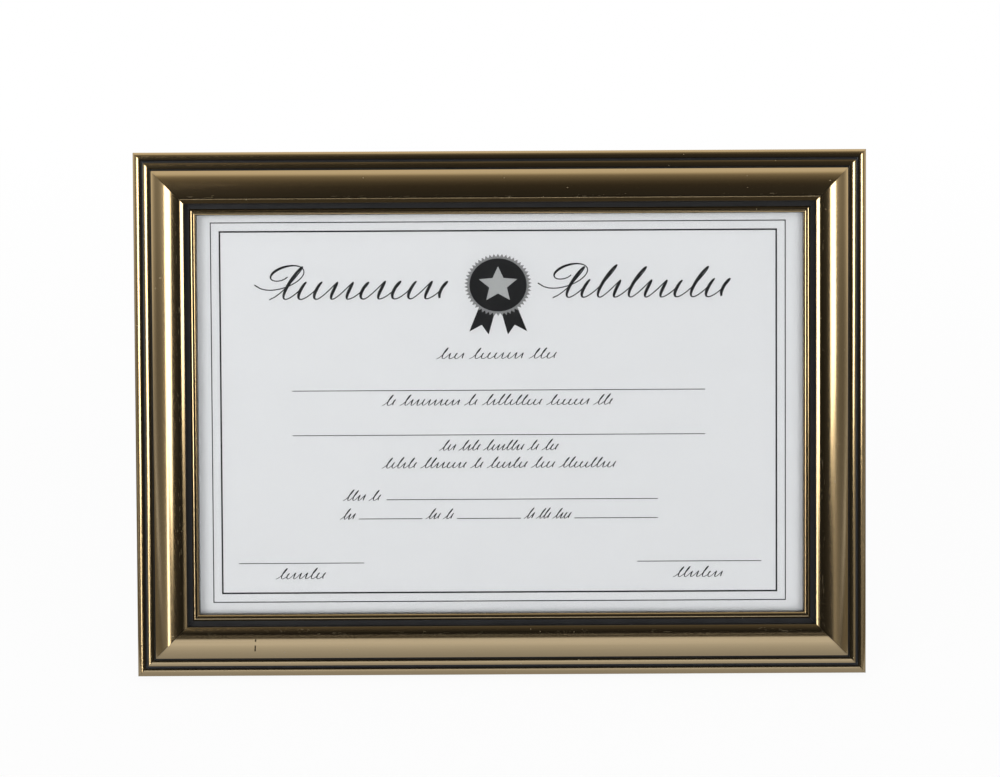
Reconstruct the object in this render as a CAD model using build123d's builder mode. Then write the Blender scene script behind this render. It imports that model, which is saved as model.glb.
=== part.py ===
from build123d import *
from math import cos, radians, sin, sqrt
import os

os.makedirs("parts", exist_ok=True)

# Driving sizes, in millimetres, and angles in degrees. The insert is the standard 12 by 8 inch sheet.
sheet_length = 304.8
sheet_height = 203.2
lip_cover = 3.2
sheet_play = 1.5
lean_angle = 15
strut_open_angle = 28
cut_overrun = 5

# The stack behind the lip, from the front backwards: pane, certificate, filler card, board.
pane_thickness = 2
certificate_thickness = 0.3
filler_thickness = 2
board_thickness = 3
certificate_trim = 0.4

# The moulding's section, from its outer edge inwards. Heights are above its flat back.
back_chamfer = 0.6
outer_side_height = 9.2
bead_1_width = 3.8
bead_1_crown_inset = 3.35
bead_1_crest = 10.95
bead_1_radius = 4.1
cove_1_width = 1.45
cove_1_floor = 10.1
bead_2_width = 2.9
bead_2_crown_inset = 2.4
bead_2_crest = 11.8
bead_2_radius = 5.1
cove_2_width = 0.85
cove_2_floor = 10.5
cove_2_inner_rim = 10.7
riser_width = 0.1
crown_inset = 22.2
crown_height = 17.4
dome_radius = 18.8
shoulder_radius = 3.5
shoulder_run = 1.45
slope_run = 1.5
slope_foot_height = 16.3
dome_wall_width = 0.1
groove_width = 2.5
groove_height = 12.4
lip_width = 3.25
lip_crest = 13.2
lip_crest_inset = 1.4
lip_edge_height = 11.8
middle_share = 0.5

# V nails, driven from behind across each mitre.
v_nail_leg = 7
v_nail_thickness = 0.6
v_nail_depth = 6
v_nail_insets = (8, 16)

# Turn buttons and their screws.
button_length = 22
button_width = 9
button_thickness = 1
button_heel = 5
button_lift = 1.5
button_bend = 4
button_gap = 0.2
button_spread = 95
side_button_drop = 58
button_inset = 20
screw_radius = 1.5
screw_depth = 8
screw_clearance = 0.08
screw_head_radius = 3.2
screw_head_height = 1.6
screw_head_gap = 0.15
screw_slot_width = 0.8
screw_slot_depth = 0.7
screw_slot_step = 37

# Saw-tooth hangers and their nails.
hanger_length = 46
hanger_depth = 9
hanger_thickness = 0.8
hanger_rise = 2
hanger_foot = 8
hanger_slope = 3
hanger_inset = 13
tooth_pitch = 2.5
tooth_depth = 1.8
tooth_count = 9
nail_radius = 0.8
nail_depth = 7
nail_head_radius = 2
nail_head_height = 0.6

# Wall bumpers.
bumper_radius = 6
bumper_thickness = 5
bumper_inset = 13
bumper_round = 1

# Strut, hinge and rivets.
hinge_height = 175
hinge_width = 26
hinge_lift = 0.3
leaf_thickness = 0.8
leaf_length = 22
pin_radius = 1
pin_overhang = 0.6
pin_clearance = 0.05
knuckle_width = 9.4
knuckle_gap = 0.3
knuckle_relief = 0.8
stop_gap = 0.1
leg_leaf_width = 20
leg_thickness = 2.5
leg_top_width = 32
leg_foot_width = 58
leg_round = 5
leg_top_gap = 0.9
rivet_radius = 1.5
rivet_head_radius = 2.8
rivet_head_height = 0.8
rivet_head_round = 0.5
rivet_flange_radius = 3
rivet_flange_height = 0.6
board_rivet_spacing = 15
board_rivet_height_share = 0.6
leg_rivet_spacing = 10
leg_rivet_drop_share = 0.6

# Worked out from the sizes above.
dome_end = crown_inset + shoulder_run + slope_run
moulding_width = dome_end + dome_wall_width + groove_width + lip_width
rabbet_width = lip_cover + sheet_play
rabbet_depth = pane_thickness + certificate_thickness + filler_thickness + board_thickness
outer_length = sheet_length - 2 * lip_cover + 2 * moulding_width
outer_height = sheet_height - 2 * lip_cover + 2 * moulding_width
knuckle_radius = pin_radius + pin_clearance + leaf_thickness
hinge_drop = knuckle_radius + hinge_lift

# The frame leans back from its lower rear edge, which lies on the desk along X.
right = Vector(1, 0, 0)
up = Vector(0, sin(radians(lean_angle)), cos(radians(lean_angle)))
front = Vector(0, -cos(radians(lean_angle)), sin(radians(lean_angle)))
back_plane = Plane(origin=up * (outer_height / 2), x_dir=right, z_dir=front)

# For each side: the direction inwards, the rail's length, and how far its outer edge lies from the middle.
sides = {
    "bottom": (up, outer_length, outer_height / 2),
    "right": (right * -1, outer_height, outer_length / 2),
    "top": (up * -1, outer_length, outer_height / 2),
    "left": (right, outer_height, outer_length / 2),
}
button_places = {
    "top_left": ("top", button_spread),
    "top_right": ("top", -button_spread),
    "bottom_left": ("bottom", -button_spread),
    "bottom_right": ("bottom", button_spread),
    "left": ("left", side_button_drop),
    "right": ("right", -side_button_drop),
}
hanger_sides = ("top", "left")


def rail_place(side, along, inset):
    """A plane on a rail's back: X along the rail, Y inwards, Z to the front."""
    inwards, run, reach = sides[side]
    along_rail = inwards.cross(front)
    place = back_plane.origin + inwards * (inset - reach) + along_rail * along
    return Plane(origin=place, x_dir=along_rail, z_dir=front)


def side_view(place):
    """The same place seen along its X axis: X inwards, Y to the front."""
    return Plane(origin=place.origin, x_dir=place.y_dir, z_dir=place.x_dir)


def on_round(crown, height, radius, run):
    """The point at a run on a round stretch whose crown is at another run."""
    return (run, height - radius + sqrt(radius**2 - (run - crown) ** 2))


def moulding_section(place):
    """The moulding's outline on a place, from the outer edge of its back round to the rabbet."""
    cove_1_start = bead_1_width
    bead_2_start = cove_1_start + cove_1_width
    bead_2_crown = bead_2_start + bead_2_crown_inset
    cove_2_start = bead_2_start + bead_2_width
    riser_start = cove_2_start + cove_2_width
    dome_start = riser_start + riser_width
    shoulder_end = crown_inset + shoulder_run
    groove_start = dome_end + dome_wall_width
    lip_start = groove_start + groove_width
    bead_1 = (bead_1_crown_inset, bead_1_crest, bead_1_radius)
    bead_2 = (bead_2_crown, bead_2_crest, bead_2_radius)
    dome = (crown_inset, crown_height, dome_radius)
    shoulder = (crown_inset, crown_height, shoulder_radius)
    with BuildSketch(place) as section:
        with BuildLine():
            Line((back_chamfer, 0), (0, back_chamfer))
            Line((0, back_chamfer), (0, outer_side_height))
            ThreePointArc(
                (0, outer_side_height),
                on_round(*bead_1, bead_1_width * middle_share),
                on_round(*bead_1, cove_1_start),
            )
            ThreePointArc(
                on_round(*bead_1, cove_1_start),
                (cove_1_start + cove_1_width * middle_share, cove_1_floor),
                on_round(*bead_2, bead_2_start),
            )
            ThreePointArc(
                on_round(*bead_2, bead_2_start),
                on_round(*bead_2, bead_2_start + bead_2_width * middle_share),
                on_round(*bead_2, cove_2_start),
            )
            ThreePointArc(
                on_round(*bead_2, cove_2_start),
                (cove_2_start + cove_2_width * middle_share, cove_2_floor),
                (riser_start, cove_2_inner_rim),
            )
            Line((riser_start, cove_2_inner_rim), on_round(*dome, dome_start))
            RadiusArc(on_round(*dome, dome_start), (crown_inset, crown_height), dome_radius)
            RadiusArc((crown_inset, crown_height), on_round(*shoulder, shoulder_end), shoulder_radius)
            Polyline(
                on_round(*shoulder, shoulder_end),
                (dome_end, slope_foot_height),
                (groove_start, groove_height),
                (lip_start, groove_height),
            )
            ThreePointArc(
                (lip_start, groove_height),
                (lip_start + lip_crest_inset, lip_crest),
                (moulding_width, lip_edge_height),
            )
            Polyline(
                (moulding_width, lip_edge_height),
                (moulding_width, rabbet_depth),
                (moulding_width - rabbet_width, rabbet_depth),
                (moulding_width - rabbet_width, 0),
                (back_chamfer, 0),
            )
        make_face()
    return section.sketch


def v_nail_outlines():
    """Two V nails across each mitre, their points towards the frame's corners."""
    for corner, (x_side, y_side) in enumerate(((1, 1), (-1, 1), (-1, -1), (1, -1))):
        for inset in v_nail_insets:
            x = x_side * (outer_length / 2 - inset)
            y = y_side * (outer_height / 2 - inset)
            with Locations(Location((x, y, 0), (0, 0, 90 * corner))):
                Polygon(
                    (0, 0),
                    (-v_nail_leg, 0),
                    (-v_nail_leg, -v_nail_thickness),
                    (-v_nail_thickness, -v_nail_thickness),
                    (-v_nail_thickness, -v_nail_leg),
                    (0, -v_nail_leg),
                    align=None,
                )


# Four rails, cut from one moulding and mitred, with pockets for what is driven into their backs.
for side, (inwards, run, _) in sides.items():
    edge = rail_place(side, 0, 0)
    with BuildPart() as rail:
        extrude(moulding_section(side_view(edge)), amount=run / 2, both=True)
        for end in (-1, 1):
            mitre_corner = edge.origin + edge.x_dir * (end * run / 2)
            split(bisect_by=Plane(origin=mitre_corner, z_dir=edge.x_dir * end + inwards), keep=Keep.BOTTOM)
        with BuildSketch(back_plane):
            v_nail_outlines()
        extrude(amount=v_nail_depth, mode=Mode.SUBTRACT)
        for button_side, along in button_places.values():
            if button_side == side:
                with BuildSketch(rail_place(side, along, button_inset)):
                    Circle(screw_radius)
                extrude(amount=screw_depth, mode=Mode.SUBTRACT)
        if side in hanger_sides:
            with BuildSketch(rail_place(side, 0, hanger_inset)):
                with GridLocations(hanger_length - hanger_foot, 0, 2, 1):
                    Circle(nail_radius)
            extrude(amount=nail_depth, mode=Mode.SUBTRACT)
    rail.part.label = f"{side}_rail"
    export_step(rail.part, f"parts/{side}_rail.step")

# V nails.
with BuildPart() as v_nails:
    with BuildSketch(back_plane):
        v_nail_outlines()
    extrude(amount=v_nail_depth)
v_nails.part.label = "corner_v_nails"
export_step(v_nails.part, "parts/corner_v_nails.step")

# Clear pane, held against the rabbet's front by the stack behind it.
with BuildPart() as pane:
    with BuildSketch(back_plane.offset(rabbet_depth - pane_thickness)):
        Rectangle(sheet_length, sheet_height)
    extrude(amount=pane_thickness)
pane.part.label = "glass_pane"
export_step(pane.part, "parts/glass_pane.step")

# Certificate sheet, a little smaller than the pane.
with BuildPart() as certificate:
    with BuildSketch(back_plane.offset(board_thickness + filler_thickness)):
        Rectangle(sheet_length - 2 * certificate_trim, sheet_height - 2 * certificate_trim)
    extrude(amount=certificate_thickness)
certificate.part.label = "certificate_sheet"
export_step(certificate.part, "parts/certificate_sheet.step")

# Grey filler card.
with BuildPart() as filler:
    with BuildSketch(back_plane.offset(board_thickness)):
        Rectangle(sheet_length - certificate_trim, sheet_height - certificate_trim)
    extrude(amount=filler_thickness)
filler.part.label = "filler_card"
export_step(filler.part, "parts/filler_card.step")

# The hinge's places. The axis lies just behind the board.
hinge_point = up * hinge_height - front * hinge_drop
hinge_side = Plane(origin=hinge_point, x_dir=up, z_dir=right)
leaf_up = Plane(origin=up * hinge_height, x_dir=right, z_dir=front)
board_rivet_height = leaf_length * board_rivet_height_share
open_angle = radians(strut_open_angle)
leg_down = up * -cos(open_angle) + front * -sin(open_angle)
leg_front = up * -sin(open_angle) + front * cos(open_angle)
leg_side = Plane(origin=hinge_point, x_dir=leg_down, z_dir=right * -1)
leg_face = Plane(origin=hinge_point, x_dir=right, z_dir=leg_front)
leg_rear = leaf_thickness - knuckle_radius
leg_rivet_drop = leaf_length * leg_rivet_drop_share

# Backing board, with holes and sunk seats for the hinge's rivets.
with BuildPart() as board:
    with BuildSketch(back_plane):
        Rectangle(sheet_length, sheet_height)
    extrude(amount=board_thickness)
    with BuildSketch(leaf_up):
        with Locations((0, board_rivet_height)):
            with GridLocations(board_rivet_spacing, 0, 2, 1):
                Circle(rivet_radius)
    extrude(amount=board_thickness, mode=Mode.SUBTRACT)
    with BuildSketch(leaf_up.offset(board_thickness - rivet_flange_height)):
        with Locations((0, board_rivet_height)):
            with GridLocations(board_rivet_spacing, 0, 2, 1):
                Circle(rivet_flange_radius)
    extrude(amount=rivet_flange_height, mode=Mode.SUBTRACT)
board.part.label = "backing_board"
export_step(board.part, "parts/backing_board.step")

# Turn buttons: a flat stamped tab whose tip is bent up for the finger.
for name, (side, along) in button_places.items():
    place = rail_place(side, along, button_inset)
    tip = button_length - button_heel
    inner_face = -button_gap
    outer_face = inner_face - button_thickness
    with BuildPart() as button:
        with BuildSketch(side_view(place)):
            with BuildLine():
                Polyline(
                    (-button_heel, inner_face),
                    (tip - button_bend, inner_face),
                    (tip, inner_face - button_lift),
                    (tip, outer_face - button_lift),
                    (tip - button_bend, outer_face),
                    (-button_heel, outer_face),
                    close=True,
                )
            make_face()
        extrude(amount=button_width / 2, both=True)
        with BuildSketch(place.offset(outer_face - button_lift)):
            with Locations((0, button_length / 2 - button_heel)):
                SlotOverall(button_length, button_width, rotation=90)
        extrude(amount=button_thickness + button_lift, mode=Mode.INTERSECT)
        with BuildSketch(place.offset(outer_face)):
            Circle(screw_radius + screw_clearance)
        extrude(amount=button_thickness, mode=Mode.SUBTRACT)
    button.part.label = f"turn_button_{name}"
    export_step(button.part, f"parts/turn_button_{name}.step")

# Turn button screws, each with a slotted head behind its button.
with BuildPart() as screws:
    for turn, (side, along) in enumerate(button_places.values()):
        place = rail_place(side, along, button_inset)
        head_front = -(button_gap + button_thickness + screw_head_gap)
        with BuildSketch(place.offset(head_front)):
            Circle(screw_radius)
        extrude(amount=screw_depth - head_front)
        with BuildSketch(place.offset(head_front - screw_head_height)):
            Circle(screw_head_radius)
        extrude(amount=screw_head_height)
        with BuildSketch(place.offset(head_front - screw_head_height)):
            Rectangle(2 * screw_head_radius + cut_overrun, screw_slot_width, rotation=turn * screw_slot_step)
        extrude(amount=screw_slot_depth, mode=Mode.SUBTRACT)
screws.part.label = "turn_button_screws"
export_step(screws.part, "parts/turn_button_screws.step")

# Saw-tooth hangers: a strip with two feet and a raised bridge, its teeth on the inner edge.
for side in hanger_sides:
    place = rail_place(side, 0, hanger_inset)
    across = Plane(origin=place.origin, x_dir=place.x_dir, z_dir=place.y_dir * -1)
    foot_end = hanger_length / 2 - hanger_foot
    bridge_end = foot_end - hanger_slope
    with BuildPart() as hanger:
        with BuildSketch(across):
            with BuildLine():
                Polyline(
                    (-hanger_length / 2, 0),
                    (-foot_end, 0),
                    (-bridge_end, -hanger_rise),
                    (bridge_end, -hanger_rise),
                    (foot_end, 0),
                    (hanger_length / 2, 0),
                    (hanger_length / 2, -hanger_thickness),
                    (foot_end, -hanger_thickness),
                    (bridge_end, -hanger_rise - hanger_thickness),
                    (-bridge_end, -hanger_rise - hanger_thickness),
                    (-foot_end, -hanger_thickness),
                    (-hanger_length / 2, -hanger_thickness),
                    close=True,
                )
            make_face()
        extrude(amount=hanger_depth / 2, both=True)
        with BuildSketch(place):
            with Locations((0, hanger_depth / 2)):
                with GridLocations(tooth_pitch, 0, tooth_count, 1):
                    Polygon(
                        (-tooth_pitch / 2, 0),
                        (0, -tooth_depth),
                        (tooth_pitch / 2, 0),
                        align=None,
                    )
        extrude(amount=-(hanger_rise + hanger_thickness), mode=Mode.SUBTRACT)
        with BuildSketch(place):
            with GridLocations(hanger_length - hanger_foot, 0, 2, 1):
                Circle(nail_radius)
        extrude(amount=-hanger_thickness, mode=Mode.SUBTRACT)
    hanger.part.label = f"sawtooth_hanger_{side}"
    export_step(hanger.part, f"parts/sawtooth_hanger_{side}.step")

# Hanger nails.
with BuildPart() as nails:
    for side in hanger_sides:
        place = rail_place(side, 0, hanger_inset)
        with BuildSketch(place.offset(-hanger_thickness)):
            with GridLocations(hanger_length - hanger_foot, 0, 2, 1):
                Circle(nail_radius)
        extrude(amount=nail_depth + hanger_thickness)
        with BuildSketch(place.offset(-hanger_thickness)):
            with GridLocations(hanger_length - hanger_foot, 0, 2, 1):
                Circle(nail_head_radius)
        extrude(amount=-nail_head_height)
nails.part.label = "hanger_nails"
export_step(nails.part, "parts/hanger_nails.step")

# Wall bumpers at the four back corners.
with BuildPart() as bumpers:
    with BuildSketch(back_plane):
        with GridLocations(outer_length - 2 * bumper_inset, outer_height - 2 * bumper_inset, 2, 2):
            Circle(bumper_radius)
    extrude(amount=-bumper_thickness)
    fillet(bumpers.faces().sort_by(Axis(back_plane.origin, front))[:4].edges(), radius=bumper_round)
bumpers.part.label = "wall_bumpers"
export_step(bumpers.part, "parts/wall_bumpers.step")

# The hinge leaf on the board: a plate with two curled knuckles, cut away between them for the leg's knuckle.
with BuildPart() as board_leaf:
    with BuildSketch(hinge_side):
        Circle(knuckle_radius)
        with Locations((leaf_length / 2, hinge_drop - leaf_thickness / 2)):
            Rectangle(leaf_length, leaf_thickness)
        Circle(pin_radius, mode=Mode.SUBTRACT)
    extrude(amount=hinge_width / 2, both=True)
    with BuildSketch(leaf_up.offset(-hinge_drop - knuckle_radius)):
        with Locations((0, knuckle_relief / 2)):
            Rectangle(knuckle_width + 2 * knuckle_gap, 2 * knuckle_radius + knuckle_relief)
    extrude(amount=hinge_drop + knuckle_radius, mode=Mode.SUBTRACT)
    with BuildSketch(leaf_up):
        with Locations((0, board_rivet_height)):
            with GridLocations(board_rivet_spacing, 0, 2, 1):
                Circle(rivet_radius)
    extrude(amount=-leaf_thickness, mode=Mode.SUBTRACT)
board_leaf.part.label = "hinge_board_leaf"
export_step(board_leaf.part, "parts/hinge_board_leaf.step")

# The hinge leaf on the leg. Its heel runs on past the pin and meets the board leaf when the strut is open.
heel_length = (hinge_drop - leaf_thickness - stop_gap - leg_rear * cos(open_angle)) / sin(open_angle)
with BuildPart() as leg_leaf:
    with BuildSketch(leg_side):
        Circle(knuckle_radius)
        with Locations(((leaf_length - heel_length) / 2, leg_rear - leaf_thickness / 2)):
            Rectangle(leaf_length + heel_length, leaf_thickness)
        Circle(pin_radius + pin_clearance, mode=Mode.SUBTRACT)
    extrude(amount=knuckle_width / 2, both=True)
    with BuildSketch(leg_face.offset(-knuckle_radius)):
        with Locations((0, -(leaf_length + knuckle_radius + leg_top_gap) / 2)):
            Rectangle(leg_leaf_width, leaf_length - knuckle_radius - leg_top_gap)
    extrude(amount=leaf_thickness)
    with BuildSketch(leg_face.offset(-knuckle_radius)):
        with Locations((0, -leg_rivet_drop)):
            with GridLocations(leg_rivet_spacing, 0, 2, 1):
                Circle(rivet_radius)
    extrude(amount=leaf_thickness, mode=Mode.SUBTRACT)
leg_leaf.part.label = "hinge_leg_leaf"
export_step(leg_leaf.part, "parts/hinge_leg_leaf.step")

# Hinge pin.
with BuildPart() as pin:
    with BuildSketch(hinge_side):
        Circle(pin_radius)
    extrude(amount=hinge_width / 2 + pin_overhang, both=True)
pin.part.label = "hinge_pin"
export_step(pin.part, "parts/hinge_pin.step")

# Strut leg: a tapered board, its foot cut level with the desk.
leg_top = -(knuckle_radius + leg_top_gap)
leg_reach = (hinge_point.Z + leg_thickness) / cos(open_angle - radians(lean_angle)) + cut_overrun
with BuildPart() as leg:
    with BuildSketch(leg_face.offset(leg_rear)) as leg_outline:
        Polygon(
            (-leg_top_width / 2, leg_top),
            (-leg_foot_width / 2, -leg_reach),
            (leg_foot_width / 2, -leg_reach),
            (leg_top_width / 2, leg_top),
            align=None,
        )
        fillet(leg_outline.vertices().group_by(Axis.Y)[-1], radius=leg_round)
    extrude(amount=leg_thickness)
    split(bisect_by=Plane.XY, keep=Keep.TOP)
    with BuildSketch(leg_face.offset(leg_rear)):
        with Locations((0, -leg_rivet_drop)):
            with GridLocations(leg_rivet_spacing, 0, 2, 1):
                Circle(rivet_radius)
    extrude(amount=leg_thickness, mode=Mode.SUBTRACT)
    with BuildSketch(leg_face.offset(leg_rear + leg_thickness - rivet_flange_height)):
        with Locations((0, -leg_rivet_drop)):
            with GridLocations(leg_rivet_spacing, 0, 2, 1):
                Circle(rivet_flange_radius)
    extrude(amount=rivet_flange_height, mode=Mode.SUBTRACT)
leg.part.label = "strut_leg"
export_step(leg.part, "parts/strut_leg.step")


def rivet_set(place, height, spacing, grip, label):
    """Two rivets through a leaf and a board: a round head behind the leaf, a flange sunk in the board."""
    with BuildPart() as rivets:
        with BuildSketch(place.offset(-leaf_thickness)):
            with Locations((0, height)):
                with GridLocations(spacing, 0, 2, 1):
                    Circle(rivet_radius)
        extrude(amount=leaf_thickness + grip)
        with BuildSketch(place.offset(grip - rivet_flange_height)):
            with Locations((0, height)):
                with GridLocations(spacing, 0, 2, 1):
                    Circle(rivet_flange_radius)
        extrude(amount=rivet_flange_height)
        with BuildSketch(place.offset(-leaf_thickness)):
            with Locations((0, height)):
                with GridLocations(spacing, 0, 2, 1):
                    Circle(rivet_head_radius)
        extrude(amount=-rivet_head_height)
        rear_faces = rivets.faces().sort_by(Axis(place.origin, place.z_dir))[:2]
        fillet(rear_faces.edges(), radius=rivet_head_round)
    rivets.part.label = label
    export_step(rivets.part, f"parts/{label}.step")


rivet_set(leaf_up, board_rivet_height, board_rivet_spacing, board_thickness, "board_rivets")
rivet_set(leg_face.offset(leg_rear), -leg_rivet_drop, leg_rivet_spacing, leg_thickness, "leg_rivets")
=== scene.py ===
import math
import random

import bpy
from mathutils import Matrix, Quaternion, Vector


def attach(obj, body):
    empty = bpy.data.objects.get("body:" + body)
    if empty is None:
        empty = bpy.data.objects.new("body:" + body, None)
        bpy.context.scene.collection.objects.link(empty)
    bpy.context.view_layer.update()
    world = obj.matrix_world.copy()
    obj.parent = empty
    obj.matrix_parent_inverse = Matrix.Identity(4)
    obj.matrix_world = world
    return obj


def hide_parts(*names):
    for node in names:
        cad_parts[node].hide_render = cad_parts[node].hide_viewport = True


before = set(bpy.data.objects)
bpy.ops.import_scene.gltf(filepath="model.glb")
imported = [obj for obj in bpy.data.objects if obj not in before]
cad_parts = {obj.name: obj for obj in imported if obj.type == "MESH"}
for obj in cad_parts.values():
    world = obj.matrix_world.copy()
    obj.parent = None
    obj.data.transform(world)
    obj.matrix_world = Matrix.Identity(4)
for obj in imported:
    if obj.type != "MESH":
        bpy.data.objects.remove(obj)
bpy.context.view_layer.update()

# Where the frame stands: it leans back from its lower rear edge, which lies on the desk along X. Places
# on it are worked out flat, as x to the right, y up from that edge and z forward from its back, and then
# leant back.
mm = 0.001
lean = math.radians(15)
leaning = Matrix.Rotation(math.pi / 2 - lean, 4, "X")
outer_length = 360.4 * mm
outer_height = 258.8 * mm
frame_middle = Vector((0, outer_height / 2, 0))


def leant(x, y, z):
    """The place on the desk of a place on the flat frame."""
    return leaning @ Vector((x, y, z))


# Camera, as in the photograph: a long lens just above square to the frame, whose middle lies a little
# under the middle of the picture.
picture_width_px = 1000
frame_width_px = 730.7
frame_middle_px = (500.5, 413.9)
picture_middle_px = (500, 388.5)
camera_distance = 1.5
camera_rise = math.radians(3.3)
camera_roll = math.radians(0.3)
film_width = 36
front_depth = 10 * mm
px_size = outer_length / frame_width_px
aim_right = (picture_middle_px[0] - frame_middle_px[0]) * px_size
aim_up = (frame_middle_px[1] - picture_middle_px[1]) * px_size
eye = leant(
    0,
    outer_height / 2 + camera_distance * math.sin(camera_rise),
    front_depth + camera_distance * math.cos(camera_rise),
)
aim = leant(aim_right, outer_height / 2 + aim_up, front_depth)


def deselect():
    """Leaves nothing selected, so that an operator acts on what is added or picked next alone."""
    bpy.ops.object.select_all(action="DESELECT")


deselect()
bpy.ops.object.camera_add(location=eye)
camera = bpy.context.object
camera.name = "camera"
camera.rotation_mode = "QUATERNION"
camera.rotation_quaternion = (aim - eye).to_track_quat("-Z", "Y") @ Quaternion((0, 0, 1), -camera_roll)
camera.data.sensor_width = film_width
camera.data.lens = film_width * frame_width_px / picture_width_px * camera_distance / outer_length
bpy.context.scene.camera = camera


class Wire:
    """A socket in a material, so that its maths is written as Python."""

    def __init__(self, shader, socket):
        self.shader = shader
        self.socket = socket

    def sum(self, operation, *values):
        return self.shader.node("ShaderNodeMath", *values, operation=operation)

    def __add__(self, other):
        return self.sum("ADD", self, other)

    def __sub__(self, other):
        return self.sum("SUBTRACT", self, other)

    def __rsub__(self, other):
        return self.sum("SUBTRACT", other, self)

    def __mul__(self, other):
        return self.sum("MULTIPLY", self, other)

    def __truediv__(self, other):
        return self.sum("DIVIDE", self, other)

    def __gt__(self, other):
        return self.sum("GREATER_THAN", self, other)

    def __lt__(self, other):
        return self.sum("LESS_THAN", self, other)

    __radd__ = __add__


class Shader:
    """A material or a world, and the one method that adds its nodes."""

    def __init__(self, owner):
        owner.use_nodes = True
        self.owner = owner
        self.tree = owner.node_tree
        self.tree.nodes.clear()

    def node(self, kind, *values, out=0, ramp=None, **settings):
        made = self.tree.nodes.new(kind)
        inputs = settings.pop("inputs", {})
        for key, value in settings.items():
            setattr(made, key, value)
        if ramp:
            stops = made.color_ramp.elements
            while len(stops) < len(ramp):
                stops.new(1)
            for stop, (place, colour) in zip(stops, ramp):
                stop.position = place
                stop.color = (*colour, 1)
        for key, value in [*enumerate(values), *inputs.items()]:
            if isinstance(value, Wire):
                self.tree.links.new(value.socket, made.inputs[key])
            elif value is not None:
                made.inputs[key].default_value = value
        return Wire(self, made.outputs[out]) if made.outputs else None

    def finish(self, surface):
        is_world = isinstance(self.owner, bpy.types.World)
        self.node("ShaderNodeOutputWorld" if is_world else "ShaderNodeOutputMaterial", surface)
        return self.owner

    def noise(self, place, scale, detail, **more):
        inputs = {"Vector": place, "Scale": scale, "Detail": detail, **more}
        return self.node("ShaderNodeTexNoise", inputs=inputs)

    def mix(self, share, first, second):
        colours = {0: share, 6: first, 7: second}
        return self.node("ShaderNodeMix", data_type="RGBA", out=2, inputs=colours)

    def along(self, place, axis):
        return self.node("ShaderNodeSeparateXYZ", place, out=axis)

    def bump(self, height, distance, strength):
        inputs = {"Height": height, "Distance": distance, "Strength": strength}
        return self.node("ShaderNodeBump", inputs=inputs)

    def principled(self, tone, roughness, relief, metallic=0.0):
        surface = {"Base Color": tone, "Roughness": roughness, "Normal": relief, "Metallic": metallic}
        return self.finish(self.node("ShaderNodeBsdfPrincipled", inputs=surface))


def new_finish(name):
    """Begins a material, and gives the place on the object that its patterns follow."""
    paint = Shader(bpy.data.materials.new(name))
    return paint, paint.node("ShaderNodeTexCoord", out="Object")


def seen_rays(paint):
    """1 for a ray from the camera, in gloss or through glass, and 0 for one that only brings light."""
    seen = paint.node("ShaderNodeLightPath", out="Is Camera Ray")
    for kind in ("Is Glossy Ray", "Is Transmission Ray"):
        seen = seen.sum("MAXIMUM", seen, paint.node("ShaderNodeLightPath", out=kind))
    return seen


def plain_sheet(name, corners):
    """A flat stage piece with the given corners."""
    deselect()
    bpy.ops.mesh.primitive_plane_add()
    sheet = bpy.context.object
    sheet.name = name
    for vertex, corner in zip(sheet.data.vertices, corners):
        vertex.co = corner
    return sheet


# The floor: a plain white sheet. To the camera and in gloss it is the white background. In gloss it
# carries a painted shade where it runs in under the frame, and near the frame it keeps some real shadow
# from the lamps.
floor_reach = 6
floor_painted_shade_start, floor_painted_shade_end = 12 * mm, 50 * mm
floor_painted_shade_least = 0.5
floor_shadow_share = 0.06
floor_shadow_start, floor_shadow_end = 0.4, 1.2
floor = plain_sheet("floor", [(-floor_reach, -floor_reach, 0), (floor_reach, -floor_reach, 0),
                              (-floor_reach, floor_reach, 0), (floor_reach, floor_reach, 0)])
paint, place = new_finish("white_floor")
ahead = 0 - paint.along(place, "Y")
# Painted shade: in gloss the floor is dimmed to half under and behind the frame, and brightens to full
# over the first 50 mm in front of it, in place of the shadow there.
painted_floor_shade = paint.node("ShaderNodeMapRange", ahead, floor_painted_shade_start, floor_painted_shade_end, floor_painted_shade_least, 1.0)
distance = paint.node("ShaderNodeVectorMath", place, operation="LENGTH", out="Value")
shadow_share = paint.node(
    "ShaderNodeMapRange", distance, floor_shadow_start, floor_shadow_end, floor_shadow_share, 0.0)
lit = paint.node("ShaderNodeBsdfDiffuse", (0.85, 0.85, 0.85, 1))
white = paint.node("ShaderNodeEmission", (1, 1, 1, 1), 1.0)
# The floor's cool glow in gloss, which carries that painted shade.
cool_glow_with_painted_shade = paint.node("ShaderNodeEmission", (0.95, 1.03, 1.22, 1), painted_floor_shade)
by_gloss = paint.node("ShaderNodeLightPath", out="Is Glossy Ray")
white = paint.node("ShaderNodeMixShader", by_gloss, white, cool_glow_with_painted_shade)
share = seen_rays(paint) * (1 - shadow_share)
floor.data.materials.append(paint.finish(paint.node("ShaderNodeMixShader", share, lit, white)))

# The room: white behind and beyond the frame, as in the photograph, and a soft even fill from all round
# on matt surfaces.
room_fill = 0.7
paint = Shader(bpy.data.worlds.new("white_room"))
glow = paint.node("ShaderNodeBackground", (1, 1, 1, 1), seen_rays(paint) * (1 - room_fill) + room_fill)
bpy.context.scene.world = paint.finish(glow)

# Tall soft boxes and a strip, left and right of the camera. The gold shows each as a bright band, which
# the left one's slanted foot narrows towards the bottom. They light nothing but gloss.
box_ahead = 1.0
box_height = 1.2
box_glow = 6


def area_lamp(name, location, glow, width, height):
    """A rectangular lamp with the given brightness, whatever its size."""
    deselect()
    bpy.ops.object.light_add(type="AREA", location=location)
    lamp = bpy.context.object
    lamp.name = name
    lamp.data.shape = "RECTANGLE"
    lamp.data.size = width
    lamp.data.size_y = height
    lamp.data.energy = glow * math.pi * width * height
    return lamp


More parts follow.
